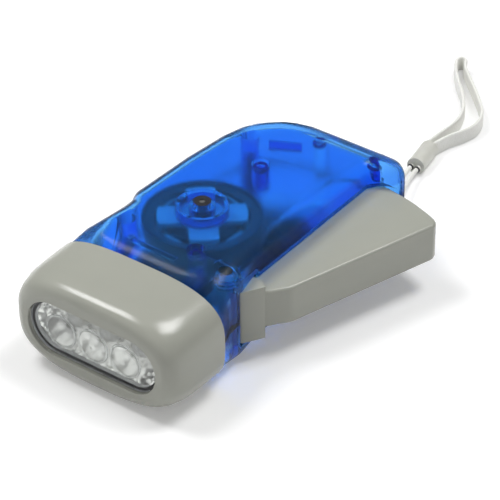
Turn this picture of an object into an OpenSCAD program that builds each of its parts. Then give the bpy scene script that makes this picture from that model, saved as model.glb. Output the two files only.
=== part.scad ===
// Hand-press dynamo flashlight lying on its flat side.
// +X is the way the light shines, +Y is the lever side, +Z is up, sizes in millimetres.
// The origin is on the flat underside, below the middle lamp's axis.

/* [Case] */
// Thickness of the case, underside to top
case_h = 27; // [25:0.5:32]
// Height of the parting plane between the two shells
split_z = 12.4; // [11.5:0.1:13.5]
// Wall of the two shells
wall = 1.6; // [1.2:0.1:2]
// Radius of the rounded edge round the top and the underside
case_edge_r = 4; // [3:0.25:5]
// Rear end of the case, behind the origin
case_rear = 45.2; // [45:0.2:47]
// Far side of the grip
grip_far = 19.6; // [19.2:0.2:21]
// Near side of the grip, above and below the lever
grip_near = 19.2; // [18.8:0.2:20.5]
// How much lower the top is at the tail
rear_fall = 1.6; // [0.8:0.1:2]
// Gap where two mouldings meet or pass
part_gap = 0.3; // [0.2:0.05:0.5]

/* [Head] */
// Rear rim of the head, where the shells meet it
head_rear_x = 27; // [26.5:0.1:27.5]
// Length of the head along the beam
head_len = 18.3; // [16:0.1:20]
// Half width of the head at its rear rim
head_half_w = 24.2; // [23.8:0.1:25]
// Half height of the head at its rear rim
head_half_h = 13.1; // [12.8:0.1:13.4]
// Wall of the head
head_wall = 1.8; // [1.4:0.1:2.2]
// Depth of the spigot that carries the head
spigot_len = 5; // [4:0.5:6]
// Half length of the window
window_half_l = 18.5; // [17:0.25:19]
// Half height of the window
window_half_h = 7.3; // [7:0.1:8]
// Spacing of the three lamps
lamp_pitch = 9.3; // [9:0.1:10]
// Diameter of a lamp
lamp_d = 5; // [4.5:0.1:5.4]
// Thickness of the clear window
lens_t = 1.2; // [1:0.1:1.6]
// Radius of each dome on the window
dome_r = 4.3; // [4:0.1:4.5]
// Thickness of the lamp board
board_t = 1.6; // [1:0.1:2]

/* [Lever] */
// Pivot of the lever, along the beam
pivot_x = 16.5; // [16:0.25:17]
// Pivot of the lever, to the near side
pivot_y = 16.4; // [16:0.2:17]
// How far the lever swings, in degrees
lever_swing = 18; // [14:1:18]
// Underside of the lever
lever_low = 8.5; // [8.2:0.1:9]
// Top of the lever
lever_top = 18.8; // [18:0.1:19.2]
// Reach of the lever's free end from its pivot
lever_reach = 57.2; // [56:0.2:57.4]
// Radius of the pivot pin
pivot_r = 1.6; // [1.4:0.1:2]
// Radius of the hub round the pivot pin
lever_hub_r = 4.7; // [4.2:0.1:5]

/* [Dynamo] */
// Flywheel axle, along the beam
fly_x = -0.2; // [-0.5:0.1:0.2]
// Flywheel axle, across
fly_y = -2.9; // [-3.2:0.1:-2.6]
// Outer radius of the flywheel
fly_r = 14.4; // [14.2:0.1:14.6]
// Radius of the steel axles
axle_r = 1.25; // [1:0.05:1.5]
// Running clearance of a hub on its axle, on the radius
run_gap = 0.05; // [0.03:0.01:0.08]
// Outer radius of the stator
stator_r = 10.8; // [10.5:0.1:11]
// Radius of the ring boss that holds the stator
stator_boss_r = 6.4; // [6:0.1:6.8]
// Air gap between the stator and the ring magnet
air_gap = 0.6; // [0.5:0.05:0.8]
// Radial thickness of the ring magnet
magnet_t = 2.2; // [2:0.1:2.4]

/* [Gears] */
// Module of every gear
gear_m = 0.75; // [0.72:0.01:0.76]
// Teeth on the drive wheel
wheel_teeth = 38; // [37:1:39]
// Teeth on the flywheel pinion
fly_teeth = 9; // [9:1:10]
// Teeth of a full circle of the lever's rack
rack_teeth = 90; // [89:1:91]
// Teeth on the drive pinion
drive_teeth = 11; // [11:1:12]
// Backlash taken off each flank at the pitch circle
backlash = 0.07; // [0.05:0.01:0.12]

/* [Strap] */
// Diameter of the thin strap cord
cord_d = 1.2; // [1:0.1:1.4]
// Width of the strap ribbon
ribbon_w = 4.2; // [3.5:0.1:5]
// Thickness of the strap ribbon
ribbon_t = 0.9; // [0.6:0.1:1.2]

/* [Hidden] */
$fn = 48;

blue = [0.08, 0.3, 0.9, 0.55];
grey = [0.66, 0.66, 0.63];
steel = [0.75, 0.76, 0.78];
dark = [0.16, 0.16, 0.18];
nylon = [0.24, 0.25, 0.28];
clear = [0.9, 0.95, 1, 0.3];
white = [0.93, 0.93, 0.9];

pivot = [pivot_x, pivot_y];
fly = [fly_x, fly_y];
mid_z = case_h / 2 - 0.1;
ceiling = case_h - wall;
head_front_x = head_rear_x + head_len;

// Gear sizes. A pressure angle of 25 degrees and short teeth keep the small pinions free of undercut.
pressure = 25;
addendum = 0.8 * gear_m;
dedendum = 1.02 * gear_m;
function pitch_r(teeth) = gear_m * teeth / 2;
function inv(r, base) = let (a = acos(min(1, base / r))) tan(a) * 180 / PI - a;

// The drive axle stands where both of its meshes are at their centre distance.
rack_to_drive = pitch_r(rack_teeth) + pitch_r(drive_teeth);
drive_to_fly = pitch_r(wheel_teeth) + pitch_r(fly_teeth);
pivot_to_fly = norm(fly - pivot);
along = (rack_to_drive ^ 2 - drive_to_fly ^ 2 + pivot_to_fly ^ 2) / (2 * pivot_to_fly);
aside = sqrt(rack_to_drive ^ 2 - along ^ 2);
to_fly = (fly - pivot) / pivot_to_fly;
drive = pivot + along * to_fly + aside * [to_fly[1], -to_fly[0]];
rack_angle = atan2(drive[1] - pivot[1], drive[0] - pivot[0]);
fly_angle = atan2(fly[1] - drive[1], fly[0] - drive[0]);

// Return spring: coil radius, wire radius, turns and pitch.
spring_r = 2.6;
spring_wire_r = 0.25;
spring_turns = 2.75;
spring_pitch = 0.95;

// Levels, from the floor of the case upwards.
boss_top = wall + 1;
bush_r = 2.18;
boss_wall = 1.1;
axle_tip_r = 0.75;
axle_tip_z = case_h - 1.2;
wheel_low = boss_top + part_gap;
wheel_t = 2.6;
rack_t = 3;
rack_low = lever_low + 0.2;
pinion_low = rack_low - 0.2;
pinion_top = rack_low + rack_t + 0.2;
disc_low = pinion_top + part_gap;
disc_t = 1.4;
yoke_t = 1;
yoke_top = ceiling - 2.7;
stator_low = disc_low + disc_t + 0.9;
magnet_r = stator_r + air_gap;
fly_wall = fly_r - magnet_r - magnet_t;
rim_top = yoke_top - 0.4;
spigot_gap = 0.4;
hub_low = 6;
hub_top = ceiling - 4.8;
hub_core_r = pivot_r + 1.2;
spring_low = hub_top + 0.1 + spring_wire_r;
spring_top = spring_low + spring_pitch * spring_turns + spring_wire_r;
lever_gap = 0.4;
screw_r = 1.1;
screw_head_r = 1.9;
boss_r = 2.2;
foot_r = screw_head_r + 1;
foot_top = 4.4;
screw_posts = [[14.8, 6.8], [14.6, -13.6], [-31.2, -12]];
locating_post = [-42, 1.8];
clamp_post = [-22.4, -2.2];
corner_post = [-42.1, 18.3];
rear_rib = [-32.2, -6.9];
strap_bar = [-41.4, 17.4];
strap_bar_r = 1.1;
strap_hole_z = 5;
horn_y = 26.3;

// Outlines are corner lists [x, y, radius], run anticlockwise, and inset by d along their normals.
function unit(v) = v / norm(v);
function corner_arc(p, c, n, d, steps) =
    let (a = unit([p[0] - c[0], p[1] - c[1]]), b = unit([n[0] - c[0], n[1] - c[1]]),
         half = acos(a * b) / 2,
         outward = a[0] * b[1] - a[1] * b[0] < 0 ? 1 : -1,
         centre = [c[0], c[1]] + unit(a + b) * c[2] / sin(half),
         from = [c[0], c[1]] + a * c[2] / tan(half) - centre,
         to = [c[0], c[1]] + b * c[2] / tan(half) - centre,
         start = atan2(from[1], from[0]),
         turn = atan2(from[0] * to[1] - from[1] * to[0], from * to),
         r = max(0.02, c[2] - outward * d))
    [for (i = [0:steps]) centre + r * [cos(start + turn * i / steps), sin(start + turn * i / steps)]];
function outline(corners, d = 0, steps = 4) =
    let (k = len(corners))
    [for (i = [0:k - 1])
        each corner_arc(corners[(i + k - 1) % k], corners[i], corners[(i + 1) % k], d, steps)];
function at_z(points, z) = [for (p = points) [p[0], p[1], z]];

// Skins rings of equal length into one closed solid.
module loft(rings) {
    n = len(rings[0]);
    m = len(rings);
    polyhedron(
        points = [for (ring = rings) each ring],
        faces = concat(
            [[for (i = [0:n - 1]) i]],
            [for (j = [0:m - 2]) for (i = [0:n - 1]) each
                let (k = (i + 1) % n)
                [[j * n + i, (j + 1) * n + k, j * n + k], [j * n + i, (j + 1) * n + i, (j + 1) * n + k]]],
            [[for (i = [n - 1:-1:0]) (m - 1) * n + i]]));
}

// A squarish oval across the beam, at x.
function oval(x, half_w, half_h, power = 2.6, count = 60) =
    [for (i = [0:count - 1])
        let (t = -360 * i / count, c = cos(t), s = sin(t))
        [x, half_w * sign(c) * pow(abs(c), 2 / power),
         mid_z + half_h * sign(s) * pow(abs(s), 2 / power)]];

// The case along the beam, front to tail:
// [x, far side, near side, near side of the hollow, drop, edge radius].
// The neck draws in behind the head, a small shoulder starts the grip,
// and the tail has a hook on the lever side.
neck_far = grip_far - 1.3;
hollow_near = grip_near - wall;
stations = [
    [head_rear_x - 5, -head_half_w + 2.6, head_half_w - 2.6, 0, 0.3, case_edge_r + 3],
    [16, -neck_far - 1.4, grip_near + 1.8, 0, 0.05, case_edge_r + 1.4],
    [11, -neck_far - 0.2, grip_near + 0.6, 0, 0, case_edge_r + 0.4],
    [7.6, -neck_far, grip_near, 0, 0, case_edge_r],
    [5.6, -grip_far + 0.4, grip_near, 0, 0, case_edge_r],
    [4.4, -grip_far, grip_near, 0, 0, case_edge_r],
    [-14, -grip_far + 0.5, grip_near, 0, 0, case_edge_r],
    [-27, -grip_far + 1.3, grip_near, 0, 0, case_edge_r],
    [-case_rear + 12.4, -grip_far + 2.4, grip_near, 0, 0, case_edge_r],
    [-case_rear + 9, -grip_far + 4.1, grip_near, 0, 0, case_edge_r],
    [-case_rear + 6.6, -grip_far + 6.1, grip_near + 1.5, 0, 0, case_edge_r],
    [-case_rear + 5.1, -grip_far + 7.9, grip_near + 3.8, 0.6, 0, case_edge_r - 0.2],
    [-case_rear + 4.5, -grip_far + 8.8, horn_y, 1.2, 0.02, case_edge_r - 0.4],
    [-case_rear + 3.2, -grip_far + 11.2, horn_y, 2.6, 0.1, case_edge_r - 0.6],
    [-case_rear + 1.8, -grip_far + 14.6, horn_y - 1.1, 2.6, 0.45, case_edge_r - 0.8],
    [-case_rear + 0.7, -grip_far + 19, horn_y - 3.4, 2.2, 1.3, case_edge_r - 1],
    [-case_rear, -grip_far + 25, horn_y - 8, 1.6, 3, case_edge_r - 1.4]];

// Half of a rounded section at x, from the parting plane z0 to the outside z1.
ring_steps = 6;
function half_ring(x, far, near, z0, z1, r, steps = ring_steps) =
    let (s = z1 > z0 ? 1 : -1, zc = z1 - s * r)
    concat([[x, near, z0]],
        [for (i = [0:steps]) let (a = 90 * i / steps) [x, near - r + r * cos(a), zc + s * r * sin(a)]],
        [for (i = [0:steps]) let (a = 90 + 90 * i / steps) [x, far + r + r * cos(a), zc + s * r * sin(a)]],
        [[x, far, z0]]);
function backwards(list) = [for (i = [len(list) - 1:-1:0]) list[i]];
module half_loft(rings, up) {
    loft(up ? backwards(rings) : rings);
}
function top_fall(x) = rear_fall * pow(min(1, max(0, (-4 - x) / (case_rear - 6))), 1.4);
function roof(x) = ceiling - top_fall(x);
function outside(up, drop, x) = up ? case_h - top_fall(x) - drop : drop;

// The same as a half oval, for the end that meets the head.
head_power = 3.2;
function half_oval(x, half_w, half_h, up, z0, power = head_power) =
    let (last = 2 * ring_steps + 1,
         pts = [for (i = [0:last])
            let (t = 8 + 164 * i / last, c = cos(t), s = sin(t))
            [x, half_w * sign(c) * pow(abs(c), 2 / power),
             mid_z + (up ? 1 : -1) * half_h * pow(s, 2 / power)]])
    concat([[x, pts[0][1], z0]], pts, [[x, pts[last][1], z0]]);

module half_case(up) {
    half_loft(concat([half_oval(head_rear_x, head_half_w - 0.6, head_half_h - 0.3, up, split_z)],
        [for (s = stations) half_ring(s[0], s[1], s[2], split_z, outside(up, s[4], s[0]), s[5])]), up);
}

// The spigot that carries the head, and the hollow of the case, which runs out through it.
spigot_half_w = head_half_w - head_wall - spigot_gap;
spigot_half_h = head_half_h - head_wall - spigot_gap;
function spigot_ring(x, up, skin, z0) = half_oval(x, spigot_half_w - skin, spigot_half_h - skin, up, z0);
module half_spigot(up) {
    half_loft([for (x = [head_rear_x + spigot_len, head_rear_x - 3]) spigot_ring(x, up, 0, split_z)], up);
}
module half_hollow(up) {
    z0 = split_z + (up ? -1 : 1);
    body = [for (i = [1:len(stations) - 1]) stations[i]];
    half_loft(concat(
        [for (x = [head_rear_x + spigot_len + 1, head_rear_x - 3]) spigot_ring(x, up, head_wall, z0)],
        [for (s = body) half_ring(s[0] < -30 ? s[0] + wall : s[0], s[1] + wall,
            min(s[2] - wall, hollow_near + s[3]), z0, outside(up, s[4] + wall, s[0]),
            max(0.8, s[5] - wall))]), up);
}

// Room that the lever sweeps in the near wall.
module lever_room() {
    intersection() {
        translate([pivot_x, pivot_y, lever_low - lever_gap])
            cylinder(r = lever_reach + 0.5, h = lever_top - lever_low + 2 * lever_gap);
        translate([-60, 13, 0]) cube([60 + pivot_x + 0.9, 40, case_h]);
    }
    translate([7.5, pivot_y - 7.5, hub_low - lever_gap])
        cube([pivot_x + 0.9 - 7.5, 40, hub_top - hub_low + 2 * lever_gap]);
    post(pivot, hub_low - lever_gap, hub_top + lever_gap, hub_core_r + lever_gap);
    post(pivot, hub_top, spring_top + part_gap, spring_r + spring_wire_r + lever_gap);
}

module strap_hole() {
    reach = strap_bar_r + cord_d + 0.3;
    translate([-case_rear - 3, strap_bar[1], strap_hole_z]) rotate([90, 0, 90]) linear_extrude(7) {
        square([2 * reach - 2, 2.2], center = true);
        for (i = [-1, 1]) translate([i * (reach - 1), 0]) circle(r = 1.1);
    }
}

module post(p, z0, z1, r) {
    translate([p[0], p[1], z0]) cylinder(r = r, h = z1 - z0);
}

module lower_shell() {
    color(blue) difference() {
        union() {
            difference() {
                union() {
                    half_case(false);
                    half_spigot(false);
                }
                half_hollow(false);
            }
            for (p = screw_posts) {
                post(p, wall / 2, split_z, boss_r);
                post(p, wall / 2, foot_top, foot_r);
            }
            post(locating_post, wall / 2, split_z, boss_r - 0.5);
            for (p = [fly, drive]) post(p, wall / 2, boss_top, axle_r + 1.5);
            post(pivot, wall, hub_low - part_gap, pivot_r + 1.2);
            post(strap_bar, wall / 2, lever_low - lever_gap - 0.2, strap_bar_r);
        }
        for (p = screw_posts) {
            post(p, -1, split_z + 1, screw_r + 0.2);
            post(p, -1, 2.6, screw_head_r + 0.2);
        }
        for (p = [fly, drive]) post(p, 0.8, boss_top + 1, axle_r + 0.01);
        post(pivot, wall, hub_low, pivot_r + 0.01);
        lever_room();
        strap_hole();
    }
}

module upper_shell() {
    color(blue) difference() {
        union() {
            difference() {
                union() {
                    half_case(true);
                    half_spigot(true);
                }
                half_hollow(true);
            }
            for (p = screw_posts) post(p, split_z, roof(p[0]) + 0.5, boss_r);
            post(locating_post, split_z, roof(locating_post[0]) + 0.5, boss_r - 0.5);
            post(clamp_post, ceiling - 7.5, roof(clamp_post[0]) + 0.5, boss_r);
            post(corner_post, lever_top + lever_gap + 0.1, roof(corner_post[0]) + 0.5, boss_r);
            difference() {
                post(fly, yoke_top, ceiling + 0.5, stator_boss_r);
                post(fly, yoke_top - 1, ceiling - 0.4, stator_boss_r - boss_wall);
            }
            post(fly, yoke_top, ceiling + 0.5, bush_r + 1);
            post(pivot, spring_top + part_gap, ceiling + 0.1, pivot_r + 1.6);
            // stiffening ribs under the top
            translate([18.8, -8.4, ceiling - 1.6]) cube([1.2, 13, 2.1]);
            translate([rear_rib[0], rear_rib[1], roof(rear_rib[0]) - 2.4]) rotate([0, 0, 118])
                translate([0, -0.5, 0]) cube([8, 1, 2.6]);
        }
        for (p = screw_posts) post(p, split_z - 1, split_z + 7, screw_r + 0.02);
        for (p = [clamp_post, corner_post]) post(p, split_z, roof(p[0]) - 2, screw_r);
        post(fly, yoke_top - 1, case_h + 1, bush_r + 0.02);
        post(pivot, 0, ceiling - 0.8, pivot_r + 0.01);
        lever_room();
    }
}

// Sections of the head, front to rear: [distance behind the front, width lost, height lost, power].
head_sections = [[0, 4.4, 3.6, 2.7], [0.2, 3.5, 2.7, 2.75], [0.7, 2.5, 1.7, 2.8], [1.6, 1.6, 0.9, 2.9],
                 [3.2, 1, 0.4, 3], [6.5, 0.4, 0.1, head_power], [11, 0.1, 0, head_power],
                 [head_len, 0, 0, head_power]];

// Stadium prism across the beam.
module stadium(x0, x1, half_l, half_h) {
    translate([x0, 0, mid_z]) rotate([90, 0, 90]) linear_extrude(x1 - x0) {
        square([2 * (half_l - half_h), 2 * half_h], center = true);
        for (s = [-1, 1]) translate([s * (half_l - half_h), 0]) circle(r = half_h);
    }
}

face_t = 3.2;
seat_x = head_front_x - face_t;
lens_x = head_front_x - lens_t - 1;
lens_lip = 0.9;
board_x = head_rear_x + spigot_len;

module head_bezel() {
    color(grey) difference() {
        loft([for (s = head_sections)
            oval(head_front_x - s[0], head_half_w - s[1], head_half_h - s[2], s[3])]);
        loft([oval(seat_x, head_half_w - head_wall - 1.5, head_half_h - head_wall - 0.9, 2.8),
              oval(head_rear_x - 1, head_half_w - head_wall, head_half_h - head_wall, head_power)]);
        stadium(seat_x - 1, head_front_x + 1, window_half_l - lens_lip, window_half_h - lens_lip);
        stadium(lens_x, head_front_x + 1, window_half_l, window_half_h);
    }
}

module lens_window() {
    // sphere through a dome's rim and its crown
    dome_h = 1;
    ball_r = (dome_r ^ 2 + dome_h ^ 2) / (2 * dome_h);
    color(clear) {
        stadium(lens_x, lens_x + lens_t, window_half_l - 0.1, window_half_h - 0.1);
        for (i = [-1:1]) translate([lens_x + lens_t - 0.01, i * lamp_pitch, mid_z]) rotate([0, 90, 0])
            rotate_extrude() intersection() {
                translate([0, dome_h - ball_r]) circle(r = ball_r);
                square([dome_r, dome_h]);
            }
    }
}

reflector_back = board_x + board_t;
cup_x = reflector_back + 2;

module reflector() {
    color("silver") difference() {
        stadium(reflector_back, seat_x, window_half_l + 0.6, window_half_h + 0.8);
        hull() {
            stadium(seat_x, seat_x + 0.5, window_half_l - 0.9, window_half_h - 0.6);
            stadium(cup_x, cup_x + 0.1, window_half_l - 4.2, window_half_h - 2.6);
        }
        for (i = [-1:1]) translate([0, i * lamp_pitch, mid_z]) rotate([0, 90, 0]) {
            translate([0, 0, reflector_back - 1]) cylinder(d = lamp_d + 1.4, h = 20);
            translate([0, 0, cup_x - 0.4]) cylinder(r1 = lamp_d / 2 + 0.7, r2 = lamp_d / 2 + 2.2, h = 3);
        }
    }
}

// A round lamp on the board, its dome towards +X.
module lamp(i) {
    r = lamp_d / 2;
    rim_t = 1;
    body = 4.2;
    color(clear) translate([reflector_back, i * lamp_pitch, mid_z]) rotate([0, 90, 0]) rotate_extrude()
        union() {
            square([r + 0.4, rim_t]);
            square([r, body]);
            intersection() {
                translate([0, body]) circle(r = r);
                translate([0, body - 0.5]) square([r, r + 1]);
            }
        }
}

module lamp_board() {
    color("seagreen") loft([
        oval(board_x + board_t, head_half_w - head_wall - 1.4, head_half_h - head_wall - 1.2),
        oval(board_x, head_half_w - head_wall - 1.4, head_half_h - head_wall - 1.2)]);
}

module rectifier_diodes() {
    color(dark) for (i = [-1.5:1:1.5])
        translate([board_x - 2, i * 4, mid_z - 2.1]) cube([2, 2.4, 4.2]);
}

module fly_axle() {
    color(steel) {
        post(fly, 0.8, axle_tip_z, axle_r);
        post(fly, axle_tip_z - 0.1, case_h - 0.3, axle_tip_r);
    }
}

module axle_bush() {
    color(dark) difference() {
        post(fly, yoke_top, case_h - 0.1, bush_r);
        post(fly, 0, axle_tip_z + 0.1, axle_r + 0.02);
        post(fly, 0, case_h + 1, axle_tip_r + 0.02);
    }
}

// One claw plate of the stator: four arms, with fingers bent along the axle.
module claw_plate(plate_low, finger_low, finger_top, turn) {
    arm_w = 7;
    finger_w = 5.4;
    translate([fly_x, fly_y, 0]) rotate([0, 0, turn]) difference() {
        intersection() {
            union() {
                translate([0, 0, plate_low]) cylinder(r = 5.6, h = yoke_t);
                for (a = [0:90:270]) rotate([0, 0, a]) {
                    translate([0, -arm_w / 2, plate_low]) cube([20, arm_w, yoke_t]);
                    translate([stator_r - yoke_t, -finger_w / 2, finger_low])
                        cube([5, finger_w, finger_top - finger_low]);
                }
            }
            cylinder(r = stator_r, h = 60);
        }
        cylinder(r = 2.3, h = 60);
    }
}

bobbin_r = 4;
flange_t = 0.8;
coil_low = stator_low + yoke_t;
coil_top = yoke_top - yoke_t;

module upper_yoke() {
    color(steel) claw_plate(coil_top, coil_low + 0.8, coil_top + 0.2, 40);
}

module lower_yoke() {
    color(steel) claw_plate(stator_low, stator_low + 0.2, coil_top - 0.8, 85);
}

module coil_bobbin() {
    flange_r = stator_r - yoke_t - part_gap;
    color(white) difference() {
        union() {
            post(fly, coil_low, coil_top, bobbin_r);
            post(fly, coil_low, coil_low + flange_t, flange_r);
            post(fly, coil_top - flange_t, coil_top, flange_r);
        }
        post(fly, 0, case_h, axle_r + 0.3);
    }
}

module coil_winding() {
    color("peru") difference() {
        post(fly, coil_low + flange_t, coil_top - flange_t, stator_r - yoke_t - 2 * part_gap);
        post(fly, 0, case_h, bobbin_r);
    }
}

// Flat outline of a gear: teeth from first to last of a full circle, on a band down to inner_r.
function tooth(teeth) =
    let (rp = pitch_r(teeth), base = rp * cos(pressure), root = rp - dedendum, tip = rp + addendum,
         from = max(base, root), half = 90 / teeth - backlash / rp * 180 / PI + inv(rp, base),
         radii = [for (i = [0:4]) from + (tip - from) * i / 4],
         flank = [for (r = radii) [r, half - inv(r, base)]])
    concat([[root, half - inv(from, base)]], flank,
           [for (i = [4:-1:0]) [flank[i][0], -flank[i][1]]], [[root, -(half - inv(from, base))]]);
function polar(list, turn) = [for (p = list) p[0] * [cos(turn - p[1]), sin(turn - p[1])]];
function gear_points(teeth, turn) =
    [for (i = [0:teeth - 1]) each polar(tooth(teeth), turn + 360 * i / teeth)];

module gear(teeth, turn, low, high) {
    translate([0, 0, low]) linear_extrude(high - low) polygon(gear_points(teeth, turn));
}

module flywheel() {
    color(nylon) translate([fly_x, fly_y, 0]) difference() {
        union() {
            gear(fly_teeth, fly_angle + 180 + 180 / fly_teeth, wheel_low - 0.1, wheel_low + wheel_t + 0.3);
            translate([0, 0, wheel_low + wheel_t + 0.3])
                cylinder(r = 3, h = disc_low - wheel_low - wheel_t - 0.3 + 0.1);
            difference() {
                translate([0, 0, disc_low]) cylinder(r = fly_r, h = rim_top - disc_low);
                translate([0, 0, disc_low + disc_t]) cylinder(r = fly_r - fly_wall, h = 60);
            }
        }
        translate([0, 0, -1]) cylinder(r = axle_r + run_gap, h = 60);
    }
}

module ring_magnet() {
    color(dark) difference() {
        post(fly, disc_low + disc_t, rim_top - 0.5, magnet_r + magnet_t);
        post(fly, 0, case_h, magnet_r);
    }
}

module drive_axle() {
    color(steel) post(drive, 0.8, pinion_top + 0.6, axle_r);
}

ratchet_r = 6;
pawl_disc_t = 1.2;
ratchet_depth = 1.4;

module drive_wheel() {
    color(nylon) translate([drive[0], drive[1], 0]) difference() {
        gear(wheel_teeth, fly_angle, wheel_low, wheel_low + wheel_t);
        translate([0, 0, wheel_low + wheel_t - ratchet_depth]) {
            cylinder(r = ratchet_r, h = 5);
            for (a = [0:30:330]) rotate([0, 0, a]) translate([ratchet_r - 0.6, 0, 0])
                linear_extrude(5) polygon([[0, -1.4], [1.3, 1.2], [0, 1.4]]);
        }
        translate([0, 0, -1]) cylinder(r = axle_r + run_gap, h = 60);
    }
}

module drive_pinion() {
    disc_z = wheel_low + wheel_t - ratchet_depth;
    color(white) translate([drive[0], drive[1], 0]) difference() {
        union() {
            translate([0, 0, disc_z]) cylinder(r = 3.4, h = pinion_low - disc_z + 0.1);
            // three springy pawls that reach the ratchet ring
            for (a = [0:120:240]) rotate([0, 0, a]) translate([0, 2.1, disc_z]) {
                cube([4.6, 0.9, pawl_disc_t]);
                translate([3.8, 0, 0]) cube([0.9, 1.4, pawl_disc_t]);
            }
            gear(drive_teeth, rack_angle + 180 + 180 / drive_teeth, pinion_low, pinion_top);
        }
        translate([0, 0, -1]) cylinder(r = axle_r + run_gap, h = 60);
    }
}

// Lever: a wedge that swings out of the case, a taller hub block, and a toothed rack inside.
lever_edge_r = 0.8;
lever_inner_y = 17.8;
outer_dir = [cos(180 - lever_swing), sin(180 - lever_swing)];
bend = [6, 27.5];
bend_to_end = let (q = bend - pivot, b = q * outer_dir) -b + sqrt(b ^ 2 - q * q + lever_reach ^ 2);
tip = bend + bend_to_end * outer_dir;
tip_angle = atan2(tip[1] - pivot[1], tip[0] - pivot[0]);
heel_angle = 180 - asin((lever_inner_y - pivot_y) / lever_reach);
lever_corners = concat(
    [[11.3, lever_inner_y, 1], [11.3, 23.4, 1], [bend[0], bend[1], 5], [tip[0], tip[1], 2.5]],
    [for (i = [1:4]) let (a = tip_angle + (heel_angle - tip_angle) * i / 5)
        [pivot_x + lever_reach * cos(a), pivot_y + lever_reach * sin(a), 4]],
    [[pivot_x + lever_reach * cos(heel_angle), lever_inner_y, 1.5]]);

// A step round a rounded edge: [height gained, inset].
function edge_ring(r, i, steps = 4) = [r * sin(90 * i / steps), r * (1 - cos(90 * i / steps))];
module lever_wedge() {
    levels = concat(
        [for (i = [4:-2:0]) let (e = edge_ring(lever_edge_r, i)) [lever_low + lever_edge_r - e[0], e[1]]],
        [for (i = [0:2:4]) let (e = edge_ring(lever_edge_r, i)) [lever_top - lever_edge_r + e[0], e[1]]]);
    loft([for (l = levels) at_z(outline(lever_corners, l[1], 4), l[0])]);
}

module rack() {
    inner_r = pitch_r(rack_teeth) - dedendum - 3;
    step = 360 / rack_teeth;
    last = 1;
    first = -floor(lever_swing / step) - 3;
    band_from = 172;
    band_to = rack_angle + 360 + (last + 0.6) * step;
    root = pitch_r(rack_teeth) - dedendum + 0.05;
    count = 24;
    band = [for (i = [0:count]) band_from + (band_to - band_from) * i / count];
    translate([pivot_x, pivot_y, rack_low]) linear_extrude(rack_t) {
        polygon(concat([for (a = band) root * [cos(a), sin(a)]],
                       [for (i = [count:-1:0]) inner_r * [cos(band[i]), sin(band[i])]]));
        for (i = [first:last]) polygon(concat(polar(tooth(rack_teeth), rack_angle + i * step),
            [(root - 0.5) * [cos(rack_angle + (i - 0.3) * step), sin(rack_angle + (i - 0.3) * step)],
             (root - 0.5) * [cos(rack_angle + (i + 0.3) * step), sin(rack_angle + (i + 0.3) * step)]]));
    }
}

module press_lever() {
    color(grey) difference() {
        union() {
            lever_wedge();
            rack();
            post(pivot, hub_low, hub_top, hub_core_r);
            // inner lobe of the hub, which carries the spring's peg
            intersection() {
                post(pivot, hub_low, hub_top, lever_hub_r);
                translate([pivot_x - 20.9, pivot_y - 20, 0]) cube([20, 40, case_h]);
            }
            // peg for the spring's leg
            translate([pivot_x - 3.4, pivot_y - spring_r + spring_wire_r + 0.7, hub_top - 0.1])
                cylinder(r = 0.6, h = 1.4);
            translate([0, 0, hub_low]) linear_extrude(hub_top - hub_low)
                polygon([[pivot_x, pivot_y], [pivot_x - 0.2, 20.9], [11.4, 23.9], [9.6, 21.4],
                         [10.2, lever_inner_y]]);
        }
        translate([pivot_x, pivot_y, -1]) cylinder(r = pivot_r + run_gap, h = 60);
    }
}

module pivot_pin() {
    color(steel) post(pivot, wall, ceiling - 0.8, pivot_r);
}

// Sweeps a round section along a list of points.
function section_frame(points, i) =
    let (n = len(points), t = unit(points[min(n - 1, i + 1)] - points[max(0, i - 1)]),
         side = unit(cross(abs(t[2]) > 0.9 ? [1, 0, 0] : [0, 0, 1], t)))
    [side, cross(t, side)];
module tube(points, r, sides) {
    loft([for (i = [0:len(points) - 1])
        let (f = section_frame(points, i))
        [for (k = [0:sides - 1])
            points[i] + r * (cos(360 * k / sides) * f[0] + sin(360 * k / sides) * f[1])]]);
}

// Return spring: a torsion coil on the pivot, one leg on a peg of the lever, one on a post of the case.
function spring_point(a) = [pivot_x + spring_r * cos(a), pivot_y + spring_r * sin(a),
                            spring_low + spring_pitch * (a + 90) / 360];
spring_coil = [for (i = [0:8 * spring_turns]) spring_point(i * 45 - 90)];
spring_end = spring_coil[len(spring_coil) - 1];
// the long leg ends on the side of the near screw post
spring_leg = spring_end[1] - screw_posts[0][1]
    - sqrt((boss_r + spring_wire_r + 0.05) ^ 2 - (screw_posts[0][0] - spring_end[0]) ^ 2);
spring_route = concat(
    [spring_coil[0] + [-4.8, 0, 0], spring_coil[0] + [-2.4, 0, 0]], spring_coil,
    [spring_end + [0, -3, 0], spring_end + [0, -spring_leg, 0]]);
module return_spring() {
    color(steel) tube(spring_route, spring_wire_r, 6);
    echo(least_gap_between_spring_turns = spring_pitch - 2 * spring_wire_r);
}

module case_screws() {
    head_t = 1.6;
    seat = 2.6;
    color(dark) for (p = screw_posts) difference() {
        union() {
            post(p, seat - head_t, seat, screw_head_r);
            post(p, seat - 0.1, split_z + 6, screw_r);
        }
        translate([p[0] - 2, p[1] - 0.3, seat - head_t - 1]) cube([4, 0.6, 1.7]);
        translate([p[0] - 0.3, p[1] - 2, seat - head_t - 1]) cube([0.6, 4, 1.7]);
    }
}

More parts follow.
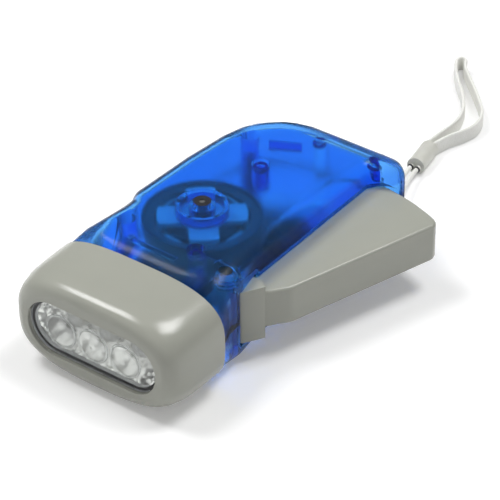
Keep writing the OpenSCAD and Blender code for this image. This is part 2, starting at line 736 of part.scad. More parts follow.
// Strap: a thin looped cord from the strap bar to a sleeve, then a ribbon loop standing on its edge.
sleeve_from = [-72, 10.2];
sleeve_to = [-81, 8.6];
sleeve_r = 2.4;
cord_half_gap = 0.95;
cord_r = cord_d / 2;
cord_loop_r = strap_bar_r + cord_r + 0.25;
cord_far = [[-47, 15.6, 5], [-52, 14.4, 4.7], [-58, 12.6, 4], [-64, 11, 3.2], [-69, 9.6, 2.6]];
cord_near = [[-47, 19.2, 5], [-52, 17.4, 4.7], [-58, 15.2, 4], [-64, 13, 3.2], [-69, 11.5, 2.6]];
cord_route = concat(
    [[sleeve_from[0] + 0.35, sleeve_from[1] - cord_half_gap, sleeve_r]],
    [for (i = [4:-1:0]) cord_far[i]],
    [for (a = [-90:30:90])
        [strap_bar[0] + cord_loop_r * cos(a), strap_bar[1] + cord_loop_r * sin(a), strap_hole_z]],
    [for (i = [0:4]) cord_near[i]],
    [[sleeve_from[0], sleeve_from[1] + cord_half_gap, sleeve_r]]);

module strap_cord() {
    color(white) tube(cord_route, cord_r, 8);
}

module strap_sleeve() {
    run = sleeve_to - sleeve_from;
    color([0.8, 0.8, 0.76]) translate([sleeve_from[0], sleeve_from[1], sleeve_r])
        rotate([0, 90, atan2(run[1], run[0])]) cylinder(r = sleeve_r, h = norm(run));
}

ribbon_out = [[sleeve_to[0] - 0.3, 9.6], [-86, 10.2], [-91, 12.6], [-96, 13.6], [-101, 12], [-106, 7.6],
              [-112, 1.4], [-118, -4.8]];
ribbon_back = [[-120.6, -5.6], [-121, -7.6], [-118.6, -8], [-112, -3.4], [-106, 2.6], [-100, 6.8], [-94, 8.6],
               [-87, 8], [-81, 7.7]];
function side_points(points, off) =
    [for (i = [0:len(points) - 1])
        let (t = unit(points[min(len(points) - 1, i + 1)] - points[max(0, i - 1)]))
        points[i] + off * [-t[1], t[0]]];

module strap_ribbon() {
    route = concat(ribbon_out, ribbon_back);
    left = side_points(route, ribbon_t / 2);
    right = side_points(route, -ribbon_t / 2);
    color(white) translate([0, 0, 0.2]) linear_extrude(ribbon_w)
        polygon(concat(left, [for (i = [len(right) - 1:-1:0]) right[i]]));
}

lower_shell();
upper_shell();
head_bezel();
lens_window();
reflector();
lamp(-1);  // lamp_left
lamp(0);  // lamp_middle
lamp(1);  // lamp_right
lamp_board();
rectifier_diodes();
fly_axle();
axle_bush();
upper_yoke();
lower_yoke();
coil_bobbin();
coil_winding();
flywheel();
ring_magnet();
drive_axle();
drive_wheel();
drive_pinion();
press_lever();
pivot_pin();
return_spring();
case_screws();
strap_cord();
strap_sleeve();
strap_ribbon();
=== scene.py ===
import math

import bmesh
import bpy
from mathutils import Matrix, Vector


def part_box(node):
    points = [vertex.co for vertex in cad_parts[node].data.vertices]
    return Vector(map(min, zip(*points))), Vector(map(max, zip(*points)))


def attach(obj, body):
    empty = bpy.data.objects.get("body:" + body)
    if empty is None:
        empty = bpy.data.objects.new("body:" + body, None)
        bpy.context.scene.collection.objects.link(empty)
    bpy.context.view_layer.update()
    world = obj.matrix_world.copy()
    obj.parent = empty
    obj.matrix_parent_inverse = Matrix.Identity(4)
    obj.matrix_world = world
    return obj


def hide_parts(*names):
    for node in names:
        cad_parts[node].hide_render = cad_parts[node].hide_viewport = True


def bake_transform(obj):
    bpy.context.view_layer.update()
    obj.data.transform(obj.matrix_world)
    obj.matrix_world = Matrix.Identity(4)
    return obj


mm = 0.001  # every size below is written in millimetres

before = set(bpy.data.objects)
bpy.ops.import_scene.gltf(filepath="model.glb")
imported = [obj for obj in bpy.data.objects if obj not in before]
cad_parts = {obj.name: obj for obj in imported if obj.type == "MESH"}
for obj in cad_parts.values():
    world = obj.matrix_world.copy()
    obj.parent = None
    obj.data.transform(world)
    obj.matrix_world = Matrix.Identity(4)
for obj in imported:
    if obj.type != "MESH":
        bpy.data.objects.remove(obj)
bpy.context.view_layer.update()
print("frame loaded:", len(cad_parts), "nodes")

photoCamera = {
    "azimuth": 126.757,
    "elevation": 36.093,
    "roll": -0.366,
    "distance": 618.76,
    "target": (-7.488, 5.546, 12.0),
    "lens": 187.7,
    "sensor": 36.0,
    "clipStart": 10.0,
}


def placeCamera(spec):
    az, el, roll = (math.radians(spec[key]) for key in ("azimuth", "elevation", "roll"))
    back = Vector((math.sin(az) * math.cos(el), -math.cos(az) * math.cos(el), math.sin(el)))
    right = Vector((math.cos(az), math.sin(az), 0.0))
    up = back.cross(right)
    across = right * math.cos(roll) + up * math.sin(roll)
    upward = up * math.cos(roll) - right * math.sin(roll)
    data = bpy.data.cameras.new("photoCamera")
    data.lens = spec["lens"]
    data.sensor_width = spec["sensor"]
    data.clip_start = spec["clipStart"] * mm
    camera = bpy.data.objects.new("photoCamera", data)
    bpy.context.collection.objects.link(camera)
    turn = Matrix((across, upward, back)).transposed().to_4x4()
    place = (Vector(spec["target"]) + back * spec["distance"]) * mm
    camera.matrix_world = Matrix.Translation(place) @ turn
    bpy.context.scene.camera = camera


placeCamera(photoCamera)
bpy.context.scene.view_settings.view_transform = "Standard"
print("camera placed")


def hexColor(text):
    channels = [int(text[i : i + 2], 16) / 255 for i in (1, 3, 5)]
    linear = [c / 12.92 if c <= 0.04045 else ((c + 0.055) / 1.055) ** 2.4 for c in channels]
    return (*linear, 1.0)


def addNode(tree, kind, settings=None, links=None):
    node = tree.nodes.new(kind)
    for key, value in (settings or {}).items():
        if isinstance(key, str) and hasattr(node, key) and key not in node.inputs:
            setattr(node, key, value)
        else:
            node.inputs[key].default_value = value
    for key, socket in (links or {}).items():
        tree.links.new(socket, node.inputs[key])
    return node


# how fine the noise is in tint and gloss, and the part of it that gloss uses
surfaceNoise = {
    "tintDetail": 3.0,
    "tintRough": 0.55,
    "glossDetail": 4.0,
    "glossUsed": (0.3, 0.7),
}


def finishMaterial(name, shade, grain=None, tint=None, gloss=None, cells=None, paintedWallShade=None):
    # shade sets the shader's sockets, and sizes are in mm: grain is (size, height, detail),
    # tint is (colour a, colour b, patch size), gloss is (low, high, patch size),
    # cells is (size, height) of dimples, and paintedWallShade is (colour, steep, flat),
    # painted shade that darkens upright faces by the rise of their normals
    material = bpy.data.materials.new(name)
    material.use_nodes = True
    tree = material.node_tree
    shader = tree.nodes["Principled BSDF"]
    for key, value in shade.items():
        shader.inputs[key].default_value = value
    coords = addNode(tree, "ShaderNodeTexCoord")
    place = coords.outputs["Object"]
    if tint:
        cloud = addNode(
            tree,
            "ShaderNodeTexNoise",
            {
                "Scale": 1 / (tint[2] * mm),
                "Detail": surfaceNoise["tintDetail"],
                "Roughness": surfaceNoise["tintRough"],
            },
            {"Vector": place},
        )
        blend = addNode(
            tree,
            "ShaderNodeMix",
            {"data_type": "RGBA", 6: hexColor(tint[0]), 7: hexColor(tint[1])},
            {0: cloud.outputs["Fac"]},
        )
        color = blend.outputs[2]
        # painted shade: upright faces take the darker wall colour, by the rise of their
        # normals
        if paintedWallShade:
            normal = addNode(
                tree, "ShaderNodeSeparateXYZ", links={"Vector": coords.outputs["Normal"]}
            )
            level = addNode(
                tree, "ShaderNodeMath", {"operation": "ABSOLUTE"}, {0: normal.outputs["Z"]}
            )
            upright = addNode(
                tree,
                "ShaderNodeMapRange",
                {"From Min": paintedWallShade[1], "From Max": paintedWallShade[2], "To Min": 1.0, "To Max": 0.0},
                {"Value": level.outputs[0]},
            )
            wallShadeMix = addNode(
                tree,
                "ShaderNodeMix",
                {"data_type": "RGBA", 7: hexColor(paintedWallShade[0])},
                {0: upright.outputs["Result"], 6: color},
            )
            color = wallShadeMix.outputs[2]
        tree.links.new(color, shader.inputs["Base Color"])
    if gloss:
        smear = addNode(
            tree,
            "ShaderNodeTexNoise",
            {"Scale": 1 / (gloss[2] * mm), "Detail": surfaceNoise["glossDetail"]},
            {"Vector": place},
        )
        spread = addNode(
            tree,
            "ShaderNodeMapRange",
            {
                "From Min": surfaceNoise["glossUsed"][0],
                "From Max": surfaceNoise["glossUsed"][1],
                "To Min": gloss[0],
                "To Max": gloss[1],
            },
            {"Value": smear.outputs["Fac"]},
        )
        tree.links.new(spread.outputs["Result"], shader.inputs["Roughness"])
    if grain:
        pebble = addNode(
            tree,
            "ShaderNodeTexNoise",
            {"Scale": 1 / (grain[0] * mm), "Detail": grain[2]},
            {"Vector": place},
        )
        bump = addNode(
            tree,
            "ShaderNodeBump",
            {"Strength": 1.0, "Distance": grain[1] * mm},
            {"Height": pebble.outputs["Fac"]},
        )
        tree.links.new(bump.outputs["Normal"], shader.inputs["Normal"])
    if cells:
        dimple = addNode(
            tree, "ShaderNodeTexVoronoi", {"Scale": 1 / (cells[0] * mm)}, {"Vector": place}
        )
        bump = addNode(
            tree,
            "ShaderNodeBump",
            {"Strength": 1.0, "Distance": cells[1] * mm},
            {"Height": dimple.outputs["Distance"]},
        )
        tree.links.new(bump.outputs["Normal"], shader.inputs["Normal"])
    return material


finishes = {
    # tinted clear polystyrene, moulded in polished tools: slow flow waves, a faint haze over
    # what lies deep, and painted shade: a deeper blue on the upright walls
    "bluePolystyrene": finishMaterial(
        "bluePolystyreneTinted",
        {"IOR": 1.22, "Transmission Weight": 0.97},
        grain=(5.0, 0.02, 1.0),
        tint=("#70C0FF", "#60B6FC", 14.0),
        gloss=(0.235, 0.265, 9.0),
        paintedWallShade=("#4690F0", 0.05, 0.5),
    ),
    # painted light: deep violet rings of the same polystyrene stand in for the light that a
    # post's wall traps
    "paintedLightViolet": finishMaterial(
        "paintedLightPostRing",
        {"IOR": 1.3, "Transmission Weight": 0.75},
        grain=(1.5, 0.01, 1.0),
        tint=("#5434C4", "#4628B0", 3.0),
        gloss=(0.2, 0.265, 2.0),
    ),
    # grey ABS, moulded with a spark grain, drawn coarser than it is so that it shows:
    # a soft broad highlight
    "greyAbs": finishMaterial(
        "greyAbsMoulded",
        {"IOR": 1.53},
        grain=(0.45, 0.004, 2.0),
        tint=("#A6A79D", "#A0A298", 11.0),
        gloss=(0.205, 0.262, 6.0),
    ),
    # clear styrene acrylonitrile of the lens plate, polished: bright and a little hazy, with
    # a low IOR so that its domes don't turn dark inside
    "clearSan": finishMaterial(
        "clearSanPolished",
        {"IOR": 1.4, "Transmission Weight": 1.0},
        grain=(3.0, 0.006, 1.0),
        tint=("#FBFCFC", "#F6F8F8", 9.0),
        gloss=(0.11, 0.17, 5.0),
    ),
    # vacuum-plated polystyrene: a mirror that carries the moulding's crinkles
    "platedMirror": finishMaterial(
        "vacuumPlatedMirror",
        {"Metallic": 0.72},
        cells=(1.5, 0.42),
        tint=("#F6F6F1", "#EAEBE6", 4.0),
        gloss=(0.08, 0.16, 2.0),
    ),
    # diffused epoxy of the lamps: a warm milky body under a polished dome
    "clearEpoxy": finishMaterial(
        "clearEpoxyCast",
        {"IOR": 1.53, "Transmission Weight": 0.55},
        grain=(2.0, 0.004, 1.0),
        tint=("#FAFAF6", "#F4F5F0", 3.0),
        gloss=(0.02, 0.05, 2.0),
    ),
    # phosphor in silicone over the lamp's chip: matt lemon yellow
    "yellowPhosphor": finishMaterial(
        "yellowPhosphorSilicone",
        {"IOR": 1.41},
        grain=(0.2, 0.01, 2.0),
        tint=("#EFE58A", "#E3D66C", 0.6),
        gloss=(0.4, 0.55, 1.0),
    ),
    # glass-fibre board with green lacquer: an even, slightly mottled green
    "greenBoard": finishMaterial(
        "greenLacqueredBoard",
        {"IOR": 1.5},
        grain=(0.6, 0.01, 2.0),
        tint=("#1E5A33", "#2A6E41", 2.5),
        gloss=(0.3, 0.45, 3.0),
    ),
    # black phenolic of bush, bobbin and diodes: dull, with a fine moulded grain; on the
    # lever's faces inside the case it is painted shade
    "blackPlasticAndShade": finishMaterial(
        "blackPhenolicAndPaintedShade",
        {"IOR": 1.5},
        grain=(0.5, 0.008, 2.0),
        tint=("#15161A", "#202126", 2.0),
        gloss=(0.35, 0.5, 2.0),
    ),
    # bright nickel-plated steel, drawn and pressed: cool and shiny
    "nickelSteel": finishMaterial(
        "nickelPlatedSteel",
        {"Metallic": 1.0},
        grain=(0.8, 0.01, 3.0),
        tint=("#C9CACB", "#B4B6B8", 3.0),
        gloss=(0.18, 0.265, 2.0),
    ),
    # zinc-plated strip steel of the claw plates: pale and dull, part of it oxide
    "zincSteel": finishMaterial(
        "zincPlatedSteel",
        {"Metallic": 0.45},
        grain=(0.6, 0.01, 3.0),
        tint=("#E9ECEE", "#DADDE0", 2.0),
        gloss=(0.36, 0.48, 2.0),
    ),
    # dark acetal of the flywheel and the drive pinion: satin
    "darkAcetal": finishMaterial(
        "darkAcetalMoulded",
        {"IOR": 1.48},
        grain=(0.5, 0.006, 2.0),
        tint=("#34363E", "#3F414A", 4.0),
        gloss=(0.34, 0.46, 3.0),
    ),
    # natural nylon in front of the lamp board: milky and satin
    "whiteNylon": finishMaterial(
        "naturalNylonMoulded",
        {"IOR": 1.53, "Subsurface Weight": 0.1, "Subsurface Radius": (0.001, 0.001, 0.001)},
        grain=(0.5, 0.006, 2.0),
        tint=("#E4E2D8", "#D9D6CA", 4.0),
        gloss=(0.34, 0.46, 3.0),
    ),
    # sintered ferrite: charcoal and dry
    "ferrite": finishMaterial(
        "sinteredFerrite",
        {"IOR": 1.6},
        grain=(0.35, 0.02, 3.0),
        tint=("#424449", "#4D4F54", 1.5),
        gloss=(0.5, 0.65, 2.0),
    ),
    # enamelled copper wire: warm metal under clear lacquer
    "enamelledCopper": finishMaterial(
        "enamelledCopperWire",
        {"Metallic": 1.0},
        grain=(0.4, 0.05, 2.0),
        tint=("#B8683A", "#A4562C", 1.2),
        gloss=(0.29, 0.37, 1.5),
    ),
    # braided nylon of the strap: white, soft and matt
    "whiteBraid": finishMaterial(
        "whiteBraidedNylon",
        {"IOR": 1.5, "Sheen Weight": 0.3},
        grain=(0.5, 0.09, 2.0),
        tint=("#F5F5F1", "#E6E6DF", 0.8),
        gloss=(0.6, 0.8, 2.0),
    ),
    # soft clear vinyl of the sleeve: cloudy and shiny
    "cloudyVinyl": finishMaterial(
        "cloudyVinylMoulded",
        {"IOR": 1.53, "Transmission Weight": 0.35},
        grain=(0.9, 0.02, 2.0),
        tint=("#EFEFE8", "#DEDED4", 1.6),
        gloss=(0.29, 0.4, 1.5),
    ),
}
print("finishes made:", len(finishes))

strapLoop = {
    "cordWidth": 1.2,
    "barPlace": (-41.4, 17.4),
    "turnRadius": 1.95,
    "holeHeight": 5.0,
    "turnAngles": range(-90, 91, 30),
    "legFar": [
        (-71.65, 9.25, 2.4),
        (-69, 9.6, 2.6),
        (-64, 11, 3.2),
        (-58, 12.6, 4),
        (-52, 14.4, 4.7),
        (-47, 15.6, 5),
    ],
    "legNear": [
        (-47, 19.2, 5),
        (-52, 17.4, 4.7),
        (-58, 15.2, 4),
        (-64, 13, 3.2),
        (-69, 11.5, 2.6),
        (-72, 11.15, 2.4),
    ],
    "ribbonHeight": 2.3,
    "ribbonWidth": 4.2,
    "ribbonThick": 0.9,
    "ribbonRoute": [
        (-81.3, 9.6),
        (-86, 10.2),
        (-91, 12.6),
        (-96, 13.6),
        (-101, 12),
        (-106, 7.6),
        (-112, 1.4),
        (-118, -4.8),
        (-120.6, -5.6),
        (-121, -7.6),
        (-118.6, -8),
        (-112, -3.4),
        (-106, 2.6),
        (-100, 6.8),
        (-94, 8.6),
        (-87, 8),
        (-81, 7.7),
    ],
}


def makeLine(name, points, material):
    data = bpy.data.curves.new(name, "CURVE")
    data.dimensions = "3D"
    data.twist_mode = "Z_UP"
    data.resolution_u = 6
    spline = data.splines.new("NURBS")
    spline.points.add(len(points) - 1)
    for point, place in zip(spline.points, points):
        point.co = (*[c * mm for c in place], 1.0)
    spline.order_u = 3
    spline.use_endpoint_u = True
    data.use_fill_caps = True
    data.materials.append(material)
    piece = bpy.data.objects.new(name, data)
    bpy.context.collection.objects.link(piece)
    return piece


def makeStrap(spec):
    barX, barY = spec["barPlace"]
    turn = [
        (
            barX + spec["turnRadius"] * math.cos(math.radians(angle)),
            barY + spec["turnRadius"] * math.sin(math.radians(angle)),
            spec["holeHeight"],
        )
        for angle in spec["turnAngles"]
    ]
    route = spec["legFar"] + turn + spec["legNear"]
    cord = makeLine("strapCord", route, finishes["whiteBraid"])
    cord.data.bevel_depth = spec["cordWidth"] / 2 * mm
    cord.data.bevel_resolution = 4
    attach(cord, "body")
    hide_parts("strap_cord")
    band = [(x, y, spec["ribbonHeight"]) for x, y in spec["ribbonRoute"]]
    ribbon = makeLine("strapRibbon", band, finishes["whiteBraid"])
    ribbon.data.bevel_depth = spec["ribbonThick"] / 2 * mm
    ribbon.data.extrude = (spec["ribbonWidth"] - spec["ribbonThick"]) / 2 * mm
    ribbon.data.bevel_resolution = 2
    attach(ribbon, "body")
    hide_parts("strap_ribbon")


cordCollars = {
    # black rubber rings on the two cords, against the sleeve
    "places": [(-70.9, 9.35, 2.45), (-70.9, 11.3, 2.45)],
    "radius": 0.62,
    "bead": 0.3,
    "beadSteps": 10,
    "turnSteps": 24,
}


spinGap = 0.002  # points that end a turn closer than this are one


def spinRound(shape, geom, axis, steps):
    # a full turn about an axis through the origin, closed and facing outwards
    bmesh.ops.spin(
        shape,
        geom=geom,
        cent=(0.0, 0.0, 0.0),
        axis=axis,
        angle=math.tau,
        steps=steps,
        use_merge=True,
    )
    bmesh.ops.remove_doubles(shape, verts=shape.verts, dist=spinGap * mm)
    bmesh.ops.recalc_face_normals(shape, faces=shape.faces)


def setOut(shape, places):
    # smooth copies of one shape, one at each place
    copies = bmesh.new()
    for place in places:
        one = shape.copy()
        bmesh.ops.translate(one, verts=one.verts, vec=Vector(place) * mm)
        part = bpy.data.meshes.new("copy")
        one.to_mesh(part)
        one.free()
        copies.from_mesh(part)
        bpy.data.meshes.remove(part)
    shape.free()
    for face in copies.faces:
        face.smooth = True
    return copies


def turnBead(spec):
    # a round bead, turned about X
    bead = bmesh.new()
    bmesh.ops.create_circle(bead, segments=spec["beadSteps"], radius=spec["bead"] * mm)
    bmesh.ops.rotate(
        bead,
        verts=bead.verts,
        cent=(0.0, 0.0, 0.0),
        matrix=Matrix.Rotation(math.pi / 2, 3, "X"),
    )
    bmesh.ops.translate(bead, verts=bead.verts, vec=(0.0, 0.0, spec["radius"] * mm))
    spinRound(bead, list(bead.verts) + list(bead.edges), (1.0, 0.0, 0.0), spec["turnSteps"])
    return bead


def addPiece(name, shape, finish, sharpAngle=40):
    data = bpy.data.meshes.new(name)
    shape.to_mesh(data)
    shape.free()
    data.set_sharp_from_angle(angle=math.radians(sharpAngle))
    data.materials.append(finishes[finish])
    piece = bpy.data.objects.new(name, data)
    bpy.context.collection.objects.link(piece)
    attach(piece, "body")
    return piece


collars = addPiece(
    "cordCollars",
    setOut(turnBead(cordCollars), cordCollars["places"]),
    "blackPlasticAndShade",
)
makeStrap(strapLoop)
print("strap laid")

# faces of a moulding that take a second finish: (finish, lowest, highest) by face centre
otherFaces = {
    "reflector": ("blackPlasticAndShade", (33.0, -20.0, 5.0), (33.7, 20.0, 22.0)),
    "head_bezel": ("zincSteel", (41.9, -18.6, 5.9), (43.2, 18.6, 20.9)),
    "lens_window": ("zincSteel", (43.3, -19.0, 5.0), (44.2, 19.0, 22.0)),
    "lamp_board": ("whiteNylon", (33.5, -22.0, 3.0), (33.7, 22.0, 24.0)),
    # painted shade: the lever is grey all through; its faces inside the case, up to y 17.7,
    # are black for the shade that falls there
    "press_lever": ("blackPlasticAndShade", (-42.0, -2.0, 5.0), (9.0, 17.7, 22.5)),
}


# points within the gap are one, and faces within the flat angle are one face
skinMerge = {"gap": 0.01, "flatAngle": 0.6, "keepsFacets": ["lens_window"]}


def dressedCopy(nodeName, pieceName, finish, body, sharpAngle):
    # a merged copy of the solid, so that its lofted faces shade as one smooth skin
    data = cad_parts[nodeName].data.copy()
    data.name = pieceName
    second, low, high = otherFaces.get(nodeName, (None, None, None))
    data.materials.clear()
    data.materials.append(finishes[finish])
    if second:
        data.materials.append(finishes[second])
    shape = bmesh.new()
    shape.from_mesh(data)
    gap = skinMerge["gap"] * mm
    bmesh.ops.remove_doubles(shape, verts=shape.verts, dist=gap)
    if nodeName not in skinMerge["keepsFacets"]:
        bmesh.ops.dissolve_degenerate(shape, dist=gap, edges=shape.edges)
        bmesh.ops.dissolve_limit(
            shape,
            angle_limit=math.radians(skinMerge["flatAngle"]),
            verts=shape.verts,
            edges=shape.edges,
        )
    for face in shape.faces:
        face.smooth = True
        centre = face.calc_center_median()
        face.material_index = 0
        if second and all(a * mm <= c <= b * mm for a, c, b in zip(low, centre, high)):
            face.material_index = 1
    shape.to_mesh(data)
    shape.free()
    data.set_sharp_from_angle(angle=math.radians(sharpAngle))
    piece = bpy.data.objects.new(pieceName, data)
    bpy.context.collection.objects.link(piece)
    weigh = piece.modifiers.new("evenShade", "WEIGHTED_NORMAL")
    weigh.keep_sharp = True
    if body:
        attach(piece, body)
    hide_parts(nodeName)
    return piece


# node: piece, finish, body, slot, angle above which an edge stays sharp
mouldings = {
    "lower_shell": ("lowerShell", "bluePolystyrene", "body", "blue_shell", 32),
    "upper_shell": ("upperShell", "bluePolystyrene", "body", "blue_shell", 32),
    "head_bezel": ("headBezel", "greyAbs", "body", "grey_plastic", 38),
    "press_lever": ("pressLever", "greyAbs", "lever", "grey_plastic", 34),
    "lens_window": ("lensWindow", "clearSan", "body", "clear_plastic", 30),
    "reflector": ("mirrorTray", "platedMirror", "body", "mirror_plastic", 40),
    "lamp_board": ("lampBoard", "greenBoard", "body", "board", 30),
    "strap_sleeve": ("strapSleeve", "cloudyVinyl", "body", "strap_plastic", 40),
}
for nodeName, (pieceName, finish, body, slotName, angle) in mouldings.items():
    dressedCopy(nodeName, pieceName, finish, body, angle)
print("mouldings dressed:", len(mouldings))

# the spring's low leg sits in the lever and its high leg on a post, so its turns wind between
springTwist = {"axis": (16.5, 16.4), "low": 21.3, "high": 23.2, "sharpAngle": 75}
spring = dressedCopy(
    "return_spring", "returnSpring", "nickelSteel", None, springTwist["sharpAngle"]
)
spring.modifiers.clear()
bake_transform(spring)

lampBody = {
    "boardGap": 0.05,
    "plateRadius": 2.3,
    "flangeRadius": 3.1,
    "flangeDepth": 2.1,
    "radius": 2.5,
    "shoulder": 4.2,
    "domeSteps": 14,
    "turnSteps": 40,
    "plateBack": 0.5,
    "plateFront": 0.8,
    "cupRadius": 1.1,
    "cupDepth": 1.0,
    "cupPlace": 2.6,
    "cupFloor": 0.3,
    "chipRadius": 0.62,
    "chipFloor": 0.35,
    "chipBelowRim": 0.3,
    "chipSpread": 0.8,
}


def spinProfile(profile, turnSteps):
    # profile is (along the beam, radius), turned round the beam's axis
    shape = bmesh.new()
    verts = [shape.verts.new((x * mm, 0.0, r * mm)) for x, r in profile]
    edges = [shape.edges.new(pair) for pair in zip(verts, verts[1:])]
    spinRound(shape, verts + edges, (1.0, 0.0, 0.0), turnSteps)
    return shape


def makeLamp(nodeName, pieceName, spec):
    low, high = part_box(nodeName)
    base = Vector((low[0], (low[1] + high[1]) / 2, (low[2] + high[2]) / 2)) / mm
    rises = [math.pi / 2 * i / spec["domeSteps"] for i in range(spec["domeSteps"])]
    dome = [
        (spec["shoulder"] + spec["radius"] * math.sin(rise), spec["radius"] * math.cos(rise))
        for rise in rises
    ]
    outer = [
        (spec["boardGap"], 0.0),
        (spec["boardGap"], spec["flangeRadius"]),
        (spec["flangeDepth"], spec["flangeRadius"]),
        (spec["flangeDepth"], spec["radius"]),
        *dome,
        (spec["shoulder"] + spec["radius"], 0.0),
    ]
    rim = spec["cupPlace"] + spec["cupDepth"]
    cupFloor = spec["cupPlace"] + spec["cupFloor"]
    cup = [
        (spec["plateBack"], 0.0),
        (spec["plateBack"], spec["plateRadius"]),
        (spec["plateFront"], spec["plateRadius"]),
        (spec["plateFront"], spec["chipRadius"]),
        (spec["cupPlace"], spec["chipRadius"]),
        (rim, spec["cupRadius"]),
        (cupFloor, spec["chipRadius"]),
        (cupFloor, 0.0),
    ]
    chipFloor = spec["cupPlace"] + spec["chipFloor"]
    chipTop = rim - spec["chipBelowRim"]
    chip = [
        (chipFloor, 0.0),
        (chipFloor, spec["chipRadius"]),
        (chipTop, spec["cupRadius"] * spec["chipSpread"]),
        (chipTop, 0.0),
    ]
    for suffix, profile, finish, slotName in (
        ("", outer, "clearEpoxy", "clear_plastic"),
        ("Cup", cup, "zincSteel", None),
        ("Chip", chip, "yellowPhosphor", None),
    ):
        shape = setOut(spinProfile(profile, spec["turnSteps"]), [base])
        piece = addPiece(pieceName + suffix, shape, finish)
        if not suffix:
            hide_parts(nodeName)


for nodeName, pieceName in (
    ("lamp_left", "lampLeft"),
    ("lamp_middle", "lampMiddle"),
    ("lamp_right", "lampRight"),
):
    makeLamp(nodeName, pieceName, lampBody)
print("lamps turned")

domeBeads = {
    # clear beads round the three domes, with part of each bead proud of the plate
    "front": 44.3,
    "height": 13.4,
    "pitch": 9.3,
    "radius": 4.15,
    "bead": 0.3,
    "proud": 0.6,
    "beadSteps": 10,
    "turnSteps": 48,
}
beadFront = domeBeads["front"] + domeBeads["bead"] * domeBeads["proud"]
beadPlaces = [(beadFront, i * domeBeads["pitch"], domeBeads["height"]) for i in (-1, 0, 1)]
addPiece("domeBeads", setOut(turnBead(domeBeads), beadPlaces), "clearSan")
print("dome beads set")

postRings = {
    # each ring stands under the roof: (x, y, height of its top)
    "places": [
        (-22.4, -2.2, 24.0),
        (14.8, 6.8, 23.6),
        (-41.4, 17.4, 22.6),
        (-40.6, 2.2, 22.8),
    ],
    "inner": 1.1,
    "outer": 1.7,
    "depth": 0.7,
    "turnSteps": 32,
}


def turnRing(spec):
    # a square-edged ring, turned about Z with its top at the origin
    ring = bmesh.new()
    corners = [
        (spec["inner"], 0.0),
        (spec["outer"], 0.0),
        (spec["outer"], -spec["depth"]),
        (spec["inner"], -spec["depth"]),
    ]
    verts = [ring.verts.new((r * mm, 0.0, z * mm)) for r, z in corners]
    edges = [ring.edges.new((a, b)) for a, b in zip(verts, verts[1:] + verts[:1])]
    spinRound(ring, verts + edges, (0.0, 0.0, 1.0), spec["turnSteps"])
    return ring


# painted light: violet rings under the roof at the posts, for the light their walls trap
rings = setOut(turnRing(postRings), postRings["places"])
addPiece("postRings", rings, "paintedLightViolet")
print("post rings set:", len(postRings["places"]))

# the works inside keep their solids and take a finish
innerFinishes = {
    "rectifier_diodes": "blackPlasticAndShade",
    "fly_axle": "nickelSteel",
    "axle_bush": "blackPlasticAndShade",
    "upper_yoke": "zincSteel",
    "lower_yoke": "zincSteel",
    "coil_bobbin": "blackPlasticAndShade",
    "coil_winding": "enamelledCopper",
    "flywheel": "darkAcetal",
    "ring_magnet": "ferrite",
    "drive_axle": "nickelSteel",
    "drive_wheel": "blackPlasticAndShade",
    "drive_pinion": "darkAcetal",
    "pivot_pin": "zincSteel",
    "case_screws": "nickelSteel",
}
for nodeName, finish in innerFinishes.items():
    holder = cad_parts[nodeName]
    holder.data.materials.clear()
    holder.data.materials.append(finishes[finish])
print("works dressed:", len(innerFinishes))

studio = {
    "floorSide": 4000.0,
    "floorColor": ("#F2F2F2", "#EEEEEE"),
    "floorPatch": 300.0,
    "floorRough": 0.9,
    "floorGlow": 0.23,
    # each lamp: direction it stands in, distance, side, power
    "lamps": {
        "farLamp": ((0.1, -0.46, 0.88), 800.0, 320.0, 3.5),
        "topLamp": ((-0.32, 0.24, 0.92), 900.0, 320.0, 3.9),
        "frontLamp": ((0.7, -0.45, 0.55), 1100.0, 500.0, 0.4),
    },
    "worldStrength": 0.2,
    "worldSeen": (0.25, 1.0),
    "worldFront": (0.85, 0.5, -0.1),
    "worldTurn": 0.8,
}
white = (1.0, 1.0, 1.0, 1.0)


def addSeenThrough(tree):
    # 1 for what the eye sees straight, in gloss or through glass
    rays = addNode(tree, "ShaderNodeLightPath")
    seen = addNode(
        tree,
        "ShaderNodeMath",
        {"operation": "MAXIMUM"},
        {0: rays.outputs["Is Camera Ray"], 1: rays.outputs["Is Glossy Ray"]},
    )
    return addNode(
        tree,
        "ShaderNodeMath",
        {"operation": "MAXIMUM"},
        {0: seen.outputs[0], 1: rays.outputs["Is Transmission Ray"]},
    )


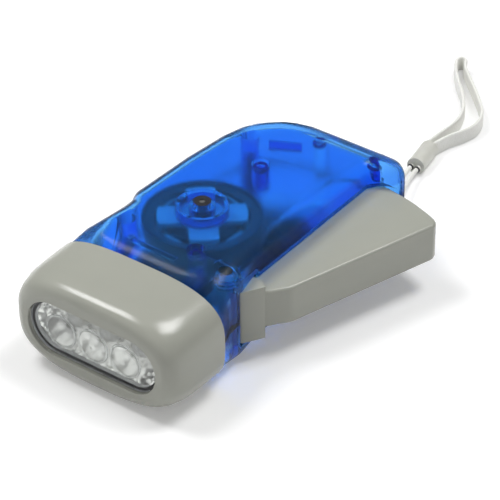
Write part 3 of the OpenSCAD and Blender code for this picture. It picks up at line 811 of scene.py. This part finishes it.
def layFloor(spec):
    plane = bmesh.new()
    bmesh.ops.create_grid(plane, x_segments=1, y_segments=1, size=spec["floorSide"] / 2 * mm)
    data = bpy.data.meshes.new("floor")
    plane.to_mesh(data)
    plane.free()
    floor = bpy.data.objects.new("floor", data)
    bpy.context.collection.objects.link(floor)
    paper = finishMaterial(
        "paleMattPaper",
        {"Roughness": spec["floorRough"]},
        tint=(*spec["floorColor"], spec["floorPatch"]),
    )
    data.materials.append(paper)
    # the paper is white to the eye and in reflections, and still takes the shadow
    tree = paper.node_tree
    seenThrough = addSeenThrough(tree)
    glow = addNode(
        tree,
        "ShaderNodeMath",
        {"operation": "MULTIPLY", 1: spec["floorGlow"]},
        {0: seenThrough.outputs[0]},
    )
    shader = tree.nodes["Principled BSDF"]
    shader.inputs["Emission Color"].default_value = white
    tree.links.new(glow.outputs[0], shader.inputs["Emission Strength"])


def hangLamps(spec):
    for name, (direction, distance, side, power) in spec["lamps"].items():
        lamp = bpy.data.lights.new(name, "AREA")
        lamp.size = side * mm
        lamp.energy = power
        holder = bpy.data.objects.new(name, lamp)
        bpy.context.collection.objects.link(holder)
        place = Vector(direction).normalized() * distance * mm
        holder.matrix_world = (
            Matrix.Translation(place) @ place.to_track_quat("Z", "Y").to_matrix().to_4x4()
        )


def paintRoom(spec):
    world = bpy.data.worlds.new("studioWorld")
    bpy.context.scene.world = world
    world.use_nodes = True
    tree = world.node_tree
    sky = tree.nodes["Background"]
    sky.inputs["Color"].default_value = white
    # in metal and through glass the room is white in front and dim behind, to the eye it
    # is white all round, and the rest of the light is a dim fill
    seenThrough = addSeenThrough(tree)
    aim = addNode(tree, "ShaderNodeTexCoord")
    facing = addNode(
        tree,
        "ShaderNodeVectorMath",
        {"operation": "DOT_PRODUCT", 1: spec["worldFront"]},
        {0: aim.outputs["Generated"]},
    )
    room = addNode(
        tree,
        "ShaderNodeMapRange",
        {
            "From Min": -spec["worldTurn"],
            "From Max": spec["worldTurn"],
            "To Min": spec["worldSeen"][0],
            "To Max": spec["worldSeen"][1],
        },
        {"Value": facing.outputs["Value"]},
    )
    rays = addNode(tree, "ShaderNodeLightPath")
    roomOrWhite = addNode(
        tree,
        "ShaderNodeMix",
        {"data_type": "FLOAT", 3: 1.0},
        {0: rays.outputs["Is Camera Ray"], 2: room.outputs["Result"]},
    )
    strength = addNode(
        tree,
        "ShaderNodeMix",
        {"data_type": "FLOAT", 2: spec["worldStrength"]},
        {0: seenThrough.outputs[0], 3: roomOrWhite.outputs[0]},
    )
    tree.links.new(strength.outputs[0], sky.inputs["Strength"])


layFloor(studio)
hangLamps(studio)
paintRoom(studio)
print("studio lit")
